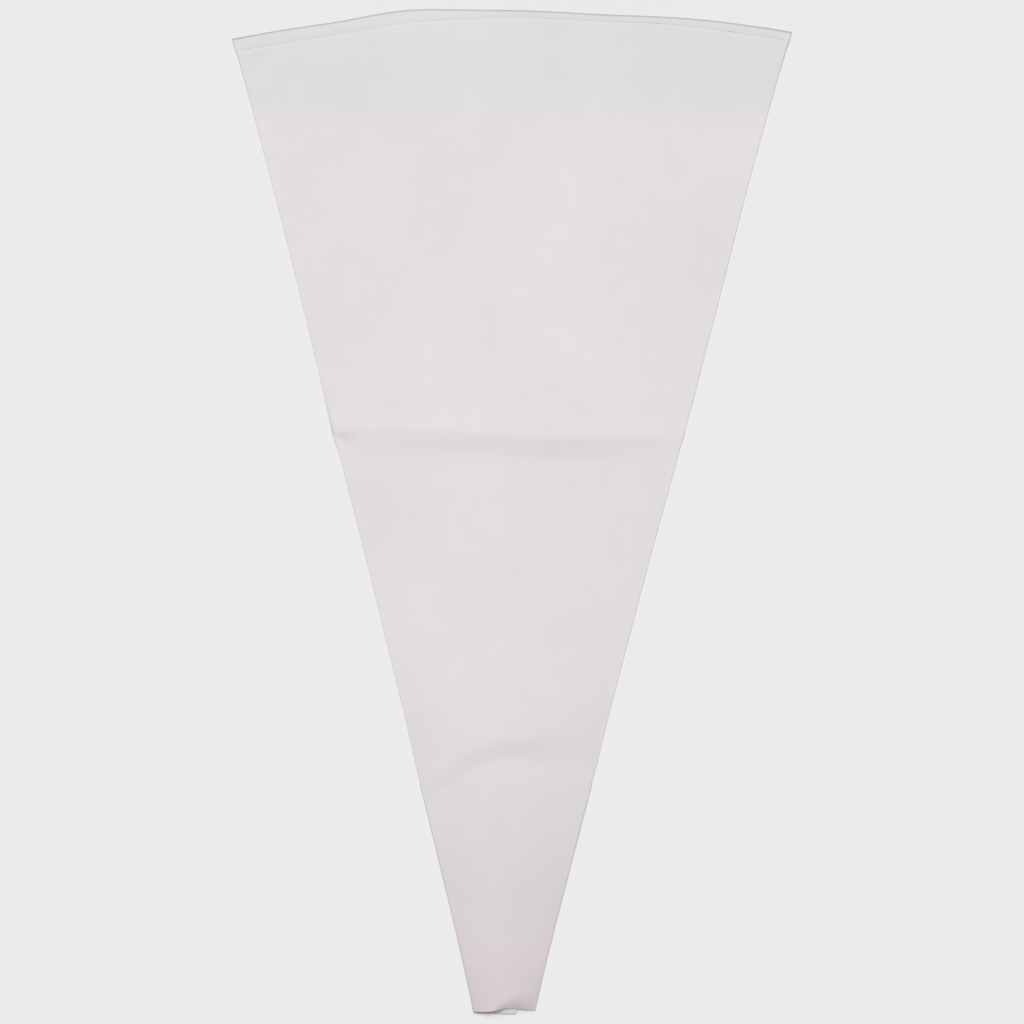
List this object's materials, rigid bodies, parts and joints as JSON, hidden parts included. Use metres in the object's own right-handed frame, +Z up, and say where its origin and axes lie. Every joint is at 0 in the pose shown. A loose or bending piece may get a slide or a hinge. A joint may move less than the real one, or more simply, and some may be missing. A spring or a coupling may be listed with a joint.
{
  "type": "piping bag",
  "caption": "Flat cone-shaped cloth piping bag with a hemmed wide mouth, a doubled tip and two fold lines, for pressing icing or dough through a nozzle.",
  "frame": {"origin": "middle of the bag's length and width, on the surface that it lies on", "axes": "+Y from the tip to the mouth, +Z up out of the front wall, +X to the right seen from the front"},
  "size_m": [0.255, 0.46, 0.0106],
  "materials": {
    "coated_cotton": "smooth coated cotton, matt",
    "sleeve_cotton": "smooth coated cotton, doubled, matt",
    "hem_thread": "spun sewing thread"
  },
  "bodies": {
    "middle_section": {"middle_front_wall": "coated_cotton", "middle_back_wall": "coated_cotton", "middle_side_seam": "coated_cotton", "sleeve_edge_front": "sleeve_cotton", "sleeve_edge_back": "sleeve_cotton"},
    "mouth_section": {"mouth_front_wall": "coated_cotton", "mouth_back_wall": "coated_cotton", "front_hem": "coated_cotton", "back_hem": "coated_cotton", "front_hem_thread": "hem_thread", "back_hem_thread": "hem_thread", "mouth_side_seam": "coated_cotton"},
    "tip_section": {"tip_front_wall": "coated_cotton", "tip_back_wall": "coated_cotton", "tip_sleeve_front": "sleeve_cotton", "tip_sleeve_back": "sleeve_cotton", "tip_side_seam": "coated_cotton"}
  },
  "joints": [
    {"name": "half_fold", "type": "hinge", "parent": "middle_section", "child": "mouth_section", "pos_m": [0, 0.035, 0.0109], "axis": [1, 0, 0], "range_deg": [0, 170]},
    {"name": "tip_fold", "type": "hinge", "parent": "middle_section", "child": "tip_section", "pos_m": [0, -0.138, 0.0088], "axis": [-1, 0, 0], "range_deg": [0, 178]}
  ]
}
